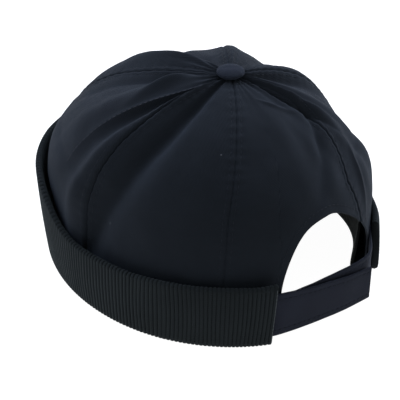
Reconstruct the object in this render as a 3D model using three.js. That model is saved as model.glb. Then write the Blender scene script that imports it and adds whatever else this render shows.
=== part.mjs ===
// A brimless sailor cap: six cotton panels, a cloth-covered button, a turned-up rib-knit cuff, its inner band
// and a back strap in two layers.
// Millimetres. +Z is up, the wearer looks along -Y and the wearer's left is +X. The hem lies on z = 0.
// Every angle is in degrees, counted from the front round to the wearer's left.

import * as THREE from 'three';

// Plan of the hem, from the middle to the outside of the cuff
const frontReach = 109.5;
const backReach = 103;
const sideReach = 95;

// Cuff
const cuffHeight = 39.5;
const cuffThickness = 4;
const rimRound = 1.4;
const ribCount = 212;
const ribDepth = 0.9;
const hemThickness = 1.8;
const hemRound = 0.6;

// Inner layer of the band
const bandHeight = 32;
const bandThickness = 1.8;
const bandLean = 0.6;
const bandCurl = 4.5;
const bandCurlWidth = 20;
const bandCurlAtEdge = 0.6;

// Crown
const crownHeight = 118.5;
const crownWall = 1.5;
const crownShiftBack = 7.8;
const crownShiftRight = 3.2;
const gutterWidth = 1.8;

// Opening between the ends of the cuff, and the half moon cut into the crown over it
const openingStart = 147.5;
const openingEnd = 202.5;
const archHeight = 64;
const archTopAngle = 172;

// Button
const buttonDiameter = 16;
const buttonHeight = 6;

// Back strap in two layers, the outer one sewn at the wearer's left, the inner one at the wearer's right
const strapWidth = 28;
const strapEndWidth = 22;
const strapBottom = 0.5;
const strapThickness = 1.4;
const strapTuck = 9;
const strapEndAngle = 186.4;
const strapEndReach = 104.6;
const innerStrapWidth = 24;
const innerStrapRise = 3.5;
const innerStrapTipRise = 2.4;
const innerStrapSlack = 2;
const innerStrapLength = 54;
const strapPull = 5.5;

// Clearances
const seamGap = 0.3;
const restGap = 0.3;
const layerGap = 0.35;
const bandGap = 0.8;

// Seams of the crown, where each panel starts. The crown sits a little twisted on its band.
const panelSeams = [8, 69, 128, 190, 249, 309];

// How full the crown stands: squareness is the power of its section, and bulge is how far it swells past its
// base, as a share of its reach
const crownForm = [
  { at: 'front', squareness: 2.42, bulge: 0.2 },
  { at: 'back', squareness: 1.86, bulge: 0.06 },
];

// How far the rim of the cuff leans out, as a share of its height
const cuffForm = [
  { at: 'front', flare: 0.08 },
  { at: 'back', flare: -0.07 },
];

// Where the cuff is turned up higher or lower: rise is a share of its height, and width is in degrees to each
// side. Squareness is 2 for a soft rise and more for one with a flat top.
const rimForm = [
  { name: 'front', angle: 5, rise: 0.48, width: 50, squareness: 6 },
  { name: 'back right', angle: 222, rise: -0.22, width: 26, squareness: 2 },
];

// The two sides of the half moon, from its highest place down. Squareness is the power of its curve, and
// past is how many degrees its foot lies beyond the end of the cuff, behind the cuff where positive.
const archForm = [
  { side: 'left', squareness: 3, past: -1.2 },
  { side: 'right', squareness: 1.6, past: 1.6 },
];

// Places where the strap pulls the foot of the crown in: depth is a share of strapPull, width is in degrees
const pulls = [
  { name: 'left end of the strap', angle: 142, depth: 0.55, width: 14 },
  { name: 'right end of the strap', angle: 203, depth: 0.35, width: 13 },
];

// Soft folds and swells of the crown. Each runs from (angle, low) to (topAngle, high), where low and high are
// shares of the way from the hem to the button. Depth is a share of the crown's height, out of the cloth
// where positive, and width is in degrees to each side.
const folds = [
  { name: 'front swell over rim', angle: 12, topAngle: 12, low: 0.02, high: 0.4, depth: 0.04, width: 55 },
  { name: 'back swell over rim', angle: 222, topAngle: 222, low: 0.12, high: 0.44, depth: 0.03, width: 24 },
  { name: 'left side ridge', angle: 65, topAngle: 75, low: 0.1, high: 1.0, depth: 0.03, width: 6.5 },
  { name: 'left side valley', angle: 73, topAngle: 93, low: 0.1, high: 1.0, depth: -0.046, width: 7 },
  { name: 'left low ridge', angle: 61, topAngle: 67, low: 0.06, high: 0.7, depth: 0.02, width: 5.5 },
  { name: 'left low valley', angle: 71, topAngle: 80, low: 0.02, high: 0.7, depth: -0.03, width: 6 },
  { name: 'left plain swell', angle: 106, topAngle: 110, low: 0.15, high: 1.0, depth: 0.013, width: 16 },
  { name: 'left front valley', angle: 54, topAngle: 67, low: 0.25, high: 0.95, depth: -0.018, width: 5.5 },
  { name: 'left front ridge', angle: 37, topAngle: 40, low: 0.1, high: 1.0, depth: 0.022, width: 9 },
  { name: 'left top fold', angle: 50, topAngle: 20, low: 0.6, high: 0.98, depth: 0.02, width: 6 },
  { name: 'front valley', angle: 18, topAngle: 24, low: 0.3, high: 1.0, depth: -0.025, width: 7 },
  { name: 'front ridge', angle: 350, topAngle: 352, low: 0.25, high: 1.0, depth: 0.026, width: 9 },
  { name: 'right front valley', angle: 330, topAngle: 332, low: 0.2, high: 1.0, depth: -0.026, width: 7 },
  { name: 'right front ridge', angle: 306, topAngle: 303, low: 0.15, high: 1.0, depth: 0.026, width: 10 },
  { name: 'right side valley', angle: 284, topAngle: 284, low: 0.15, high: 1.0, depth: -0.022, width: 8 },
  { name: 'right billow', angle: 260, topAngle: 256, low: 0.2, high: 1.0, depth: 0.014, width: 12 },
  { name: 'right notch', angle: 243, topAngle: 240, low: 0.4, high: 0.9, depth: -0.02, width: 6 },
  { name: 'right back valley', angle: 232, topAngle: 234, low: 0.15, high: 1.0, depth: -0.026, width: 8 },
  { name: 'back ridge', angle: 219, topAngle: 200, low: 0.35, high: 1.0, depth: 0.032, width: 6 },
  { name: 'back soft fold', angle: 162, topAngle: 209, low: 0.36, high: 0.74, depth: -0.02, width: 6 },
  { name: 'back valley', angle: 166, topAngle: 190, low: 0.3, high: 0.85, depth: -0.01, width: 9 },
];

// Outline of the button, as shares of its radius and of its height
const buttonOutline = [
  { reach: 0.0, rise: 0.0 },
  { reach: 0.62, rise: 0.04 },
  { reach: 0.9, rise: 0.26 },
  { reach: 1.0, rise: 0.46 },
  { reach: 0.9, rise: 0.72 },
  { reach: 0.6, rise: 0.92 },
  { reach: 0.0, rise: 1.0 },
];

// Share of the crown's height over which the strap's pull fades
const pullFadeShare = 0.75;

// Above 1, a fold is deepest nearer the end that the crown is gathered to
const foldFadePower = 1.6;

// Shares of the outer strap's free run at which its path is set
const strapRunShares = [0.35, 0.7, 1];

// Mesh steps
const panelColumns = 11;
const panelRows = 12;
const archColumns = 6;
const crownTopShare = 0.985;
const bandColumns = 72;
const bandRows = 2;
const strapColumns = 16;
const tuckSteps = 4;
const buttonSides = 24;

const radians = THREE.MathUtils.degToRad;
const degrees = THREE.MathUtils.radToDeg;
const clamp = THREE.MathUtils.clamp;

// Sizes that follow from the ones above
const gutterInset = cuffThickness + gutterWidth;
const footHeight = hemThickness + restGap;
const ribbonStart = openingEnd - 360;
const archReach = {
  left: archTopAngle - openingStart + archForm[0].past,
  right: openingEnd - archTopAngle + archForm[1].past,
};
const tuckAngle = degrees(strapTuck / backReach);

// Brings upward ** 3 * (1 - upward) to 1 where it is largest, three quarters of the way up
const swellPeak = 256 / 27;

function angleBetween(a, b) {
  return THREE.MathUtils.euclideanModulo(a - b + 180, 360) - 180;
}

function bell(off) {
  return Math.exp(-off * off);
}

// A blend of two table rows, the first at the front and the second at the back
function frontToBack(rows, column, angle) {
  const share = 0.5 + 0.5 * Math.cos(radians(angle));
  return rows[1][column] + (rows[0][column] - rows[1][column]) * share;
}

// Reach of the hem at an angle: half an oval in front and half of another behind
function hemReach(angle) {
  const across = Math.sin(radians(angle));
  const along = Math.cos(radians(angle));
  return 1 / Math.hypot(across / sideReach, along / (along > 0 ? frontReach : backReach));
}

function onPlan(angle, reach, height) {
  return new THREE.Vector3(reach * Math.sin(radians(angle)), -reach * Math.cos(radians(angle)), height);
}

// How far the strap pulls the wall in at its foot
function footPull(angle) {
  let pull = 0;
  for (const row of pulls) {
    pull += row.depth * strapPull * bell(angleBetween(angle, row.angle) / row.width);
  }
  return pull;
}

// How far the folds lift the cloth at a place on the crown
function foldLift(angle, share) {
  let lift = 0;
  for (const fold of folds) {
    const way = clamp((share - fold.low) / (fold.high - fold.low), 0, 1);
    const middle = fold.angle + angleBetween(fold.topAngle, fold.angle) * way;
    const fade = Math.sin(Math.PI * way ** foldFadePower);
    lift += fold.depth * crownHeight * fade * bell(angleBetween(angle, middle) / fold.width);
  }
  return lift;
}

// A point of the crown at an angle, with share 0 at its foot and 1 at its top, and a depth into the wall
function crownPoint(angle, share, depth) {
  const turn = share * Math.PI / 2;
  const power = 2 / frontToBack(crownForm, 'squareness', angle);
  const inward = Math.cos(turn) ** power;
  const upward = Math.sin(turn) ** power;
  const swell = 1 + frontToBack(crownForm, 'bulge', angle) * swellPeak * upward ** 3 * (1 - upward);
  const pull = footPull(angle) * clamp(1 - upward / pullFadeShare, 0, 1);
  const lift = foldLift(angle, share) - depth;
  const reach = inward * swell * (hemReach(angle) - gutterInset - pull) + lift * Math.cos(turn);
  const height = footHeight + upward * (crownHeight - footHeight) + lift * Math.sin(turn);
  const point = onPlan(angle, reach, Math.max(height, footHeight));
  point.x -= crownShiftRight * upward;
  point.y += crownShiftBack * upward;
  return point;
}

// Distance from the crown's axis, without its folds
function crownFootprint(angle, share) {
  const power = 2 / frontToBack(crownForm, 'squareness', angle);
  return hemReach(angle) * Math.cos(share * Math.PI / 2) ** power;
}

// Height of the half moon's edge at an angle
function archEdge(angle) {
  const turn = angleBetween(angle, archTopAngle);
  const { side, squareness } = archForm[turn > 0 ? 1 : 0];
  const off = Math.min(Math.abs(turn) / archReach[side], 1);
  return archHeight * (1 - off ** squareness) ** (1 / squareness);
}

// Share of the way up the crown at which it reaches a height
function shareAtHeight(angle, height) {
  const upward = clamp((height - footHeight) / (crownHeight - footHeight), 0, 1);
  const squareness = frontToBack(crownForm, 'squareness', angle);
  return Math.asin(upward ** (squareness / 2)) / (Math.PI / 2);
}

// Share of the way up at which the crown's cloth starts: its foot, or the edge of the half moon
function crownEdge(angle) {
  return shareAtHeight(angle, archEdge(angle));
}

// A closed body from rings of points that are joined one after the other, with both ends capped
function closedLoft(rings, capFaces) {
  const side = rings[0].length;
  const last = (rings.length - 1) * side;
  const faces = [];
  for (let i = 0; i < rings.length - 1; i += 1) {
    for (let j = 0; j < side; j += 1) {
      const a = i * side + j;
      const b = i * side + (j + 1) % side;
      faces.push(a, b + side, b, a, a + side, b + side);
    }
  }
  for (const [a, b, c] of capFaces) {
    faces.push(a, b, c, last + a, last + c, last + b);
  }
  const geometry = new THREE.BufferGeometry().setFromPoints(rings.flat());
  geometry.setIndex(faces);
  geometry.computeVertexNormals();
  return geometry;
}

// Cap of a ring that runs up one side of a wall and back down its other side
function wallCap(side) {
  const faces = [];
  for (let i = 0; i < side / 2 - 1; i += 1) {
    const back = side - 1 - i;
    faces.push([i, i + 1, back - 1], [i, back - 1, back]);
  }
  return faces;
}

// Columns of a panel. Those along the half moon are set closer where its edge is steep.
function panelAngles(start, end) {
  const side = Math.sign((start + end) / 2 - archTopAngle);
  const archEnd = side > 0 ? archReach.right : archReach.left;
  const near = Math.min(side * (start - archTopAngle), side * (end - archTopAngle));
  const far = near + end - start;
  const angles = [];
  for (let i = 0; i <= panelColumns; i += 1) {
    let off = near + (far - near) * i / panelColumns;
    if (near < archEnd) {
      const first = Math.asin(near / archEnd);
      const turn = first + (Math.PI / 2 - first) * i / archColumns;
      const past = (i - archColumns) / (panelColumns - archColumns);
      off = i <= archColumns ? archEnd * Math.sin(turn) : archEnd + (far - archEnd) * past;
    }
    angles.push(archTopAngle + side * off);
  }
  return angles.sort((a, b) => a - b);
}

function crownPanel(start, end) {
  const middle = (start + end) / 2;
  const rings = panelAngles(start, end).map((angle) => {
    const outside = [];
    const inside = [];
    const low = crownEdge(angle);
    for (let i = 0; i <= panelRows; i += 1) {
      const share = low + (crownTopShare - low) * i / panelRows;
      const clearance = degrees(seamGap / 2 / crownFootprint(angle, share));
      const place = middle + (angle - middle) * (1 - clearance / (end - middle));
      outside.push(crownPoint(place, share, 0));
      inside.push(crownPoint(place, share, crownWall));
    }
    return [...outside, ...inside.reverse()];
  });
  return closedLoft(rings, wallCap(rings[0].length));
}

// How far the inner layer of the band stands off the crown at a share of its height, 0 at its foot. It leans
// in a little all round, and curls in more at its right end.
function bandLeave(angle, way) {
  const curl = bandCurl * bell(angleBetween(angle, openingEnd) / bandCurlWidth);
  return bandLean * (1 - way) + curl * (1 - (1 - bandCurlAtEdge) * way);
}

// Height of the cuff's rim at an angle
function rimHeight(angle) {
  let height = cuffHeight;
  for (const { angle: middle, rise, width, squareness } of rimForm) {
    const off = Math.abs(angleBetween(angle, middle) / width);
    height += cuffHeight * rise * Math.exp(-(off ** squareness));
  }
  return height;
}

// Section of the cuff at an angle, with its outside standing in by the depth of a rib's groove
function cuffSection(angle, groove) {
  const height = rimHeight(angle);
  const flare = height * frontToBack(cuffForm, 'flare', angle);
  const inside = gutterInset + footPull(angle) + crownWall + bandGap + bandLeave(angle, 0) + bandThickness;
  return [
    [-inside, 0],
    [-hemRound - groove, 0],
    [flare / 2 + hemRound - groove, height / 2],
    [flare - groove, height - rimRound],
    [flare - cuffThickness / 2, height],
    [flare - cuffThickness, height - rimRound],
    [-cuffThickness, hemThickness],
    [-inside, hemThickness],
  ];
}

function cuff() {
  const columns = ribCount * 2;
  const rings = [];
  for (let i = 0; i <= columns; i += 1) {
    const angle = ribbonStart + (openingStart - ribbonStart) * i / columns;
    const section = cuffSection(angle, i % 2 === 0 ? ribDepth : 0);
    rings.push(section.map(([out, height]) => onPlan(angle, hemReach(angle) + out, height)));
  }
  const outline = cuffSection(ribbonStart, ribDepth).map(([out, height]) => new THREE.Vector2(out, height));
  return closedLoft(rings, THREE.ShapeUtils.triangulateShape(outline, []));
}

// The inner layer of the band lies inside the crown, nearest to it along its upper edge
function innerBand() {
  const rings = [];
  for (let i = 0; i <= bandColumns; i += 1) {
    const angle = ribbonStart + (openingStart - ribbonStart) * i / bandColumns;
    const topShare = shareAtHeight(angle, bandHeight);
    const outside = [];
    const inside = [];
    for (let j = 0; j <= bandRows; j += 1) {
      const share = topShare * j / bandRows;
      const depth = crownWall + bandGap + bandLeave(angle, j / bandRows);
      outside.push(crownPoint(angle, share, depth));
      inside.push(crownPoint(angle, share, depth + bandThickness));
    }
    rings.push([...outside, ...inside.reverse()]);
  }
  return closedLoft(rings, wallCap(rings[0].length));
}

function button() {
  const radius = buttonDiameter / 2;
  const profile = buttonOutline.map((row) => new THREE.Vector2(radius * row.reach, buttonHeight * row.rise));
  const geometry = new THREE.LatheGeometry(profile, buttonSides);
  geometry.rotateX(Math.PI / 2);
  geometry.translate(-crownShiftRight, crownShiftBack, crownHeight + restGap);
  return geometry;
}

// A place on the inside of the cuff, a layer's gap away from it
function besideCuff(angle, height) {
  const lean = Math.min(frontToBack(cuffForm, 'flare', angle), 0) * height;
  return onPlan(angle, hemReach(angle) - cuffThickness - layerGap + lean, height);
}

// One edge of a strap's tucked end, from deep in the cuff to where it leaves it
function tuckedEdge(deepAngle, mouthAngle, height) {
  const edge = [];
  for (let i = 0; i <= tuckSteps; i += 1) {
    edge.push(besideCuff(deepAngle + (mouthAngle - deepAngle) * i / tuckSteps, height));
  }
  return edge;
}

// A strip of cloth between a lower and an upper edge, with its thickness to the left of its run
function strip(lowEdge, highEdge) {
  const lowCurve = new THREE.CatmullRomCurve3(lowEdge, false, 'centripetal');
  const highCurve = new THREE.CatmullRomCurve3(highEdge, false, 'centripetal');
  const rings = [];
  for (let i = 0; i <= strapColumns; i += 1) {
    const low = lowCurve.getPointAt(i / strapColumns);
    const high = highCurve.getPointAt(i / strapColumns);
    const tangent = lowCurve.getTangentAt(i / strapColumns);
    const inward = new THREE.Vector3(-tangent.y, tangent.x, 0).setLength(strapThickness);
    rings.push([low, high, high.clone().add(inward), low.clone().add(inward)]);
  }
  return closedLoft(rings, wallCap(4));
}

function strapEnd(height) {
  return onPlan(strapEndAngle, strapEndReach, height);
}

// The outer layer leaves the left end of the cuff and runs straight to its own narrower free end
function outerStrap() {
  const edges = [0, 1].map((side) => {
    const height = footHeight + side * strapWidth;
    const mouth = besideCuff(openingStart, height);
    const end = strapEnd(strapBottom + side * strapEndWidth);
    const run = strapRunShares.map((way) => mouth.clone().lerp(end, way));
    return [...tuckedEdge(openingStart - tuckAngle, openingStart, height), ...run];
  });
  return strip(...edges);
}

// The inner layer leaves the right end of the cuff, bends behind the outer one's end and runs on under it
function innerStrap() {
  const edges = [0, 1].map((side) => {
    const rise = side * innerStrapWidth;
    const along = besideCuff(openingStart, footHeight + rise).sub(strapEnd(0)).setZ(0).normalize();
    const inward = new THREE.Vector3(along.y, -along.x, 0);
    const under = strapThickness + layerGap;
    const bend = strapEnd(footHeight + innerStrapRise + rise);
    bend.addScaledVector(inward, under + innerStrapSlack);
    const tip = strapEnd(footHeight + innerStrapTipRise + rise);
    tip.addScaledVector(along, innerStrapLength).addScaledVector(inward, under);
    const middle = bend.clone().add(tip).divideScalar(2);
    const tucked = tuckedEdge(openingEnd + tuckAngle, openingEnd, footHeight + rise);
    return [tip, middle, bend, ...tucked.reverse()];
  });
  return strip(...edges);
}

function fabric(color, roughness) {
  return new THREE.MeshStandardMaterial({ color, roughness, metalness: 0 });
}

const crownCloth = fabric(0x1c1f28, 0.85);
const buttonCloth = fabric(0x24282f, 0.85);
const ribKnit = fabric(0x1d2124, 0.95);
const strapCloth = fabric(0x222530, 0.85);

const sailorCap = new THREE.Group();

function addPiece(name, geometry, material) {
  const mesh = new THREE.Mesh(geometry, material.clone());
  mesh.name = name;
  sailorCap.add(mesh);
}

panelSeams.forEach((start, index) => {
  const end = index + 1 < panelSeams.length ? panelSeams[index + 1] : panelSeams[0] + 360;
  addPiece(`crown_panel_${index + 1}`, crownPanel(start, end), crownCloth);
});
addPiece('crown_button', button(), buttonCloth);
addPiece('cuff', cuff(), ribKnit);
addPiece('inner_band', innerBand(), ribKnit);
addPiece('strap_outer', outerStrap(), strapCloth);
addPiece('strap_inner', innerStrap(), strapCloth);

// The origin is the middle of the whole cap's footprint
const footprint = new THREE.Box3().setFromObject(sailorCap).getCenter(new THREE.Vector3());
sailorCap.position.set(-footprint.x, -footprint.y, 0);

export default sailorCap;
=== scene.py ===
import math

import bpy
import numpy as np
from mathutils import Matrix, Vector, noise


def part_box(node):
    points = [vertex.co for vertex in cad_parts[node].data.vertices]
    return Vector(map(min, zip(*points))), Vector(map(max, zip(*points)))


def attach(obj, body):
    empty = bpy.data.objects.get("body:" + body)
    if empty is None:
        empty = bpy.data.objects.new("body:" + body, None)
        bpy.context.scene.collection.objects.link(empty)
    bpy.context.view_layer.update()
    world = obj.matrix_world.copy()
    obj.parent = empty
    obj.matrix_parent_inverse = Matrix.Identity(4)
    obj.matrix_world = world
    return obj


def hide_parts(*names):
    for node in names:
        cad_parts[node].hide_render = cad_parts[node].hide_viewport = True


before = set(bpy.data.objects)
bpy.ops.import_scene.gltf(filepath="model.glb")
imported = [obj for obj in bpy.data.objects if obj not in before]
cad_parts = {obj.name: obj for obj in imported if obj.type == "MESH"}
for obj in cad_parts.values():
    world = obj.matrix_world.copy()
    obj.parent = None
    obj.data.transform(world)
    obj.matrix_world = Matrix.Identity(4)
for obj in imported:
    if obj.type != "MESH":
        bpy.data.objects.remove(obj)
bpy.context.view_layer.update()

# A brimless sailor cap: six cotton panels, a covered button, a rib-knit cuff, its inner band and a back
# strap. Metres. +Z is up, the wearer looks along -Y and the wearer's left is +X.
# Angles are in degrees, counted from the front round to the wearer's left.

# Sizes that the cap's solids are built from
FRONT_REACH = 0.1095
BACK_REACH = 0.103
SIDE_REACH = 0.095
CUFF_HEIGHT = 0.0395
CUFF_THICKNESS = 0.004
RIB_COUNT = 212
HEM_THICKNESS = 0.0018
BAND_HEIGHT = 0.032
BAND_THICKNESS = 0.0018
BAND_LEAN = 0.0006
BAND_CURL = 0.0045
BAND_CURL_WIDTH = 20
BAND_CURL_AT_EDGE = 0.6
CROWN_HEIGHT = 0.1185
CROWN_WALL = 0.0015
CROWN_SHIFT_BACK = 0.0078
CROWN_SHIFT_RIGHT = 0.0032
GUTTER_WIDTH = 0.0018
OPENING_START = 147.5
OPENING_END = 202.5
ARCH_HEIGHT = 0.064
ARCH_TOP_ANGLE = 172
ARCH_PAST = {"left": -1.2, "right": 1.6}
ARCH_SQUARENESS = {"left": 3.0, "right": 1.6}
STRAP_WIDTH = 0.028
STRAP_END_WIDTH = 0.022
STRAP_BOTTOM = 0.0005
STRAP_THICKNESS = 0.0014
STRAP_TUCK = 0.009
STRAP_END_ANGLE = 186.4
STRAP_END_REACH = 0.1046
INNER_STRAP_WIDTH = 0.024
INNER_STRAP_RISE = 0.0035
INNER_STRAP_SLACK = 0.002
INNER_STRAP_LENGTH = 0.054
STRAP_PULL = 0.0055
REST_GAP = 0.0003
LAYER_GAP = 0.00035
BAND_GAP = 0.0008
PULL_FADE_SHARE = 0.75
FOLD_FADE_POWER = 1.6
CROWN_TOP_SHARE = 0.985

# The form of the crown's section and of the cuff, at the front and at the back
CROWN_SQUARENESS = (2.42, 1.86)
CROWN_BULGE = (0.2, 0.06)
CUFF_FLARE = (0.08, -0.07)

GUTTER_INSET = CUFF_THICKNESS + GUTTER_WIDTH
FOOT_HEIGHT = HEM_THICKNESS + REST_GAP
RIBBON_START = OPENING_END - 360
ARCH_REACH = {
    "left": ARCH_TOP_ANGLE - OPENING_START + ARCH_PAST["left"],
    "right": OPENING_END - ARCH_TOP_ANGLE + ARCH_PAST["right"],
}
TUCK_ANGLE = math.degrees(STRAP_TUCK / BACK_REACH)

# The cloth is a little thinner than the solids' wall
CLOTH_THICKNESS = CROWN_WALL * 0.8

# The straps lie softer than the solids' do: how far the inner one's free end rises, and how far both bow out
INNER_STRAP_TIP_RISE = 0.0008
STRAP_BOW = 0.0022

# Brings upward ** 3 * (1 - upward) to 1 where it is largest
SWELL_PEAK = 256 / 27

# Seams of the crown: where each stands at the hem, how far it bows out half way and has leaned at the button,
# both counted above SEAM_LEAN_FROM, and how deep it is pulled
SEAMS = [
    (8, 0, 4, 1.0), (69, 0, 2.5, 1.9), (128, 0, 8, 0.9),
    (190, 8, 7, 1.2), (249, 0, 4, 1.0), (309, 0, 0, 1.0),
]
SEAM_LEAN_FROM = 0.42

# Places where the strap pulls the foot of the crown in: angle, share of STRAP_PULL, width in degrees
PULLS = [(142, 0.55, 14), (203, 0.35, 13)]

# Where the cuff is turned up higher or lower: angle, share of its height, width in degrees, squareness
RIM_FORM = [(5, 0.48, 50, 6), (222, -0.22, 26, 2)]

# Folds of the crown. Each runs from low to high, shares of the way from the hem to the button, and passes the
# three angles given at its low end, its middle and its high end. Depth is in metres, out of the cloth where
# positive. Width is in degrees. Edge is 2 for a soft swell and 1 for a sharp crease.
FOLD_COLUMNS = ("name", "low", "high", "angles", "depth", "width", "edge")
FOLD_ROWS = [
    ("front swell over rim", 0.02, 0.4, (12, 12, 12), 0.00474, 55, 2),
    ("back swell over rim", 0.12, 0.44, (222, 222, 222), 0.00356, 24, 2),
    ("left side ridge", 0.1, 1.0, (65, 66, 75), 0.0036, 5.5, 2),
    ("left side valley", 0.1, 1.0, (74, 84, 93), -0.0054, 7.5, 2),
    ("left low valley", 0.02, 0.7, (72, 77, 84), -0.0038, 5, 1.7),
    ("left low ridge", 0.06, 0.7, (61, 63, 67), 0.0026, 4.6, 1.8),
    ("left foot valley", 0.0, 0.42, (70, 73, 76), -0.003, 4.6, 1.7),
    ("left foot ridge", 0.02, 0.46, (60, 61, 63), 0.0015, 5, 1.8),
    ("left plain swell", 0.15, 1.0, (108, 109, 112), 0.0012, 18, 2),
    ("left front tuck", 0.35, 0.95, (50, 54, 65), 0.0016, 1.8, 1.4),
    ("left front valley", 0.25, 0.95, (54, 58, 67), -0.0024, 4, 2),
    ("left front ridge", 0.1, 1.0, (36, 42, 38), 0.0026, 9, 2),
    ("left top fold", 0.6, 0.98, (50, 43, 18), 0.0038, 5, 1.6),
    ("front valley", 0.3, 1.0, (18, 20, 24), -0.0042, 7, 1.6),
    ("front top ridge", 0.5, 0.98, (346, 355, 342), 0.004, 6, 1.6),
    ("front ridge", 0.25, 1.0, (350, 351, 352), 0.0022, 10, 2),
    ("right front valley", 0.2, 1.0, (330, 331, 332), -0.0032, 7, 1.7),
    ("right front ridge", 0.15, 1.0, (306, 305, 304), 0.0026, 10, 2),
    ("bump behind button", 0.6, 0.98, (301, 301, 301), 0.0022, 9, 2),
    ("right side valley", 0.15, 1.0, (284, 284, 284), -0.0026, 8, 2),
    ("right billow", 0.2, 1.0, (260, 258, 256), 0.0017, 12, 2),
    ("right notch", 0.4, 0.9, (243, 242, 240), -0.0026, 5, 1.8),
    ("right back valley", 0.15, 1.0, (232, 233, 234), -0.0018, 7, 2),
    ("back ridge", 0.35, 1.0, (221, 208, 202), 0.0034, 4.5, 1.6),
    ("back crease", 0.45, 0.97, (212, 200, 194), -0.0024, 2.2, 1.5),
    ("back soft fold", 0.36, 0.74, (162, 184, 209), -0.0026, 5, 1.7),
    ("back small wrinkle", 0.68, 0.84, (199, 184, 164), 0.0011, 3, 1.6),
    ("back low tuck", 0.18, 0.5, (195, 198, 206), 0.0016, 1.8, 1.4),
    ("back valley", 0.3, 0.85, (166, 176, 190), -0.0012, 9, 2),
    ("left low crumple", 0.03, 0.2, (112, 122, 138), 0.0019, 6, 1.6),
    ("left low dent", 0.02, 0.15, (136, 127, 118), -0.0022, 6, 1.8),
]
FOLDS = [dict(zip(FOLD_COLUMNS, row)) for row in FOLD_ROWS]

# Wrinkles that run up the crown: how close they stand, how often they change on the way up, and their depth.
# The back left hangs smoother than the rest.
WRINKLE_CLOSENESS = 5.5
WRINKLE_CHANGES = 1.7
WRINKLE_DEPTH = 0.0019
SMOOTH_ANGLE = 130
SMOOTH_WIDTH = 55
SMOOTH_SHARE = 0.8
WRINKLE_FOOT = 0.2
WRINKLE_FADE_IN = 0.25
WRINKLE_FADE_OUT = 0.12

# Small gathers round the button
GATHER_COUNT = 31
GATHER_DEPTH = 0.0006
GATHER_REACH = 0.17

# Grooves, seam allowances and puckers along the seams
SEAM_GROOVE_DEPTH = 0.0008
SEAM_GROOVE_WIDTH = 0.0006
SEAM_SWELL = 0.0003
SEAM_SWELL_WIDTH = 0.0032
PUCKER_DEPTH = 0.0002
PUCKER_PITCH = 0.0065
PUCKER_REACH = 0.005
PUCKER_WANDER = 0.021

# Topstitching: the stitches' size, how far their lines stand off seams, edges and the ends of folds, and the
# shares of the way up the crown, or across the strap, at which they run
STITCH_LENGTH = 0.0024
STITCH_PITCH = 0.0032
STITCH_RADIUS = 0.00022
STITCH_OFFSET = 0.0028
STITCH_CHANNEL_DEPTH = 0.00018
STITCH_CHANNEL_WIDTH = 0.0006
ARCH_STITCH_OFFSET = 0.0045
ARCH_STITCH_PAST = {"left": 1.5, "right": -2}
SEAM_STITCH_SHARES = (0.06, 0.93)
SEAM_STITCH_EDGE = 0.03
TUCK_STITCH_INSET = 0.04
STRAP_STITCH_SHARE = 0.14
STRAP_CHANNEL_SHARE = 0.03
CUFF_END_INSET = 0.5

# The cloth is never quite even: size and depth of its soft unevenness, which fades in above the hem
CLOTH_WAVES = [(0.035, 0.0011), (0.014, 0.00045), (0.006, 0.00014)]
CLOTH_WAVE_FADE_IN = 0.12
STRAP_WAVE = (0.012, 0.0003)
BUTTON_WAVE = (0.004, 0.0003)
BUTTON_GATHER_COUNT = 14
BUTTON_GATHER_DEPTH = 0.00012

# Knitted ribs, and how unevenly they run. The rim wanders up and down, in metres, and the ribs lean, in
# degrees, each anew after some ribs. RIM_GROOVE is how far the grooves go down and sideways over the rim.
# The near end of the cuff is cut on a slant.
RIB_DEPTH = 0.00075
RIB_SQUARENESS = 2.4
RIB_UNEVENNESS = 0.22
RIB_DRAW = 7
RIM_WANDER = 0.0004
RIM_WANDER_RIBS = 8
RIB_LEAN = 0.3
RIB_LEAN_RIBS = 6
BAND_RIB_DEPTH = 0.0007
RIM_GROOVE = (0.8, 0.5)
INSIDE_RIB_SHARE = 0.7
CUFF_BELLY = 0.0006
CUFF_END_SLANT = 2.3
CUFF_END_SLANT_WIDTH = 15

# Finish of the cloth, the knit and the thread
SHEEN_WEIGHT = 0.05
WEAVE_DEPTH = 0.00012
YARN_DEPTH = 0.00018
THREAD_FUZZ_DEPTH = 0.00006

# Mesh steps
PANEL_COLUMNS = 84
PANEL_ROWS = 130
EDGE_STEPS = 4
ARCH_COLUMNS_SHARE = 0.65
COLUMNS_PER_RIB = 6
CUFF_STEPS_OUTSIDE = 14
CUFF_STEPS_RIM = 7
CUFF_STEPS_INSIDE = 6
BAND_COLUMNS_PER_RIB = 4
BAND_ROWS = 8
STRAP_STEPS = 90
STRAP_STEPS_ACROSS = 22
SAMPLES_PER_SPAN = 24
STITCH_LINE_STEPS = 160
TUCK_LINE_STEPS = 120
ARCH_LINE_STEPS = 240

# Edges that turn by less than this are shaded smooth
PANEL_SMOOTH_ANGLE = 50
KNIT_SMOOTH_ANGLE = 80
STRAP_SMOOTH_ANGLE = 60

# Camera
CAMERA_AZIMUTH = 127.3
CAMERA_ELEVATION = 34.2
CAMERA_DISTANCE = 0.7181
CAMERA_TARGET = (0.00549, -0.0021, 0.0329)
CAMERA_LENS = 106.5
CAMERA_SENSOR = 36.0

# Light: how far each soft light stands to the right, up, and beyond the cap as the camera sees it, its size,
# its power and its colour
FLOOR_GLOW = 0.97
STUDIO_GLOW = 0.57
LIGHTS = {
    "key light": (-0.9, 1.0, 0.35, 0.7, 10.5, (0.74, 0.81, 1.0)),
    "top light": (0.1, 1.4, 0.9, 0.8, 15, (0.74, 0.81, 1.0)),
    "right light": (1.0, 0.9, 1.0, 0.6, 15, (0.76, 0.83, 1.0)),
}

# Where the cap's own middle stands in the frame: the button sits over the top of the crown
button_low, button_high = (Vector(corner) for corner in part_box("crown_button"))
button_middle = (button_low + button_high) / 2
PLAN_SHIFT = np.array([button_middle.x + CROWN_SHIFT_RIGHT, button_middle.y - CROWN_SHIFT_BACK, 0.0])


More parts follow.
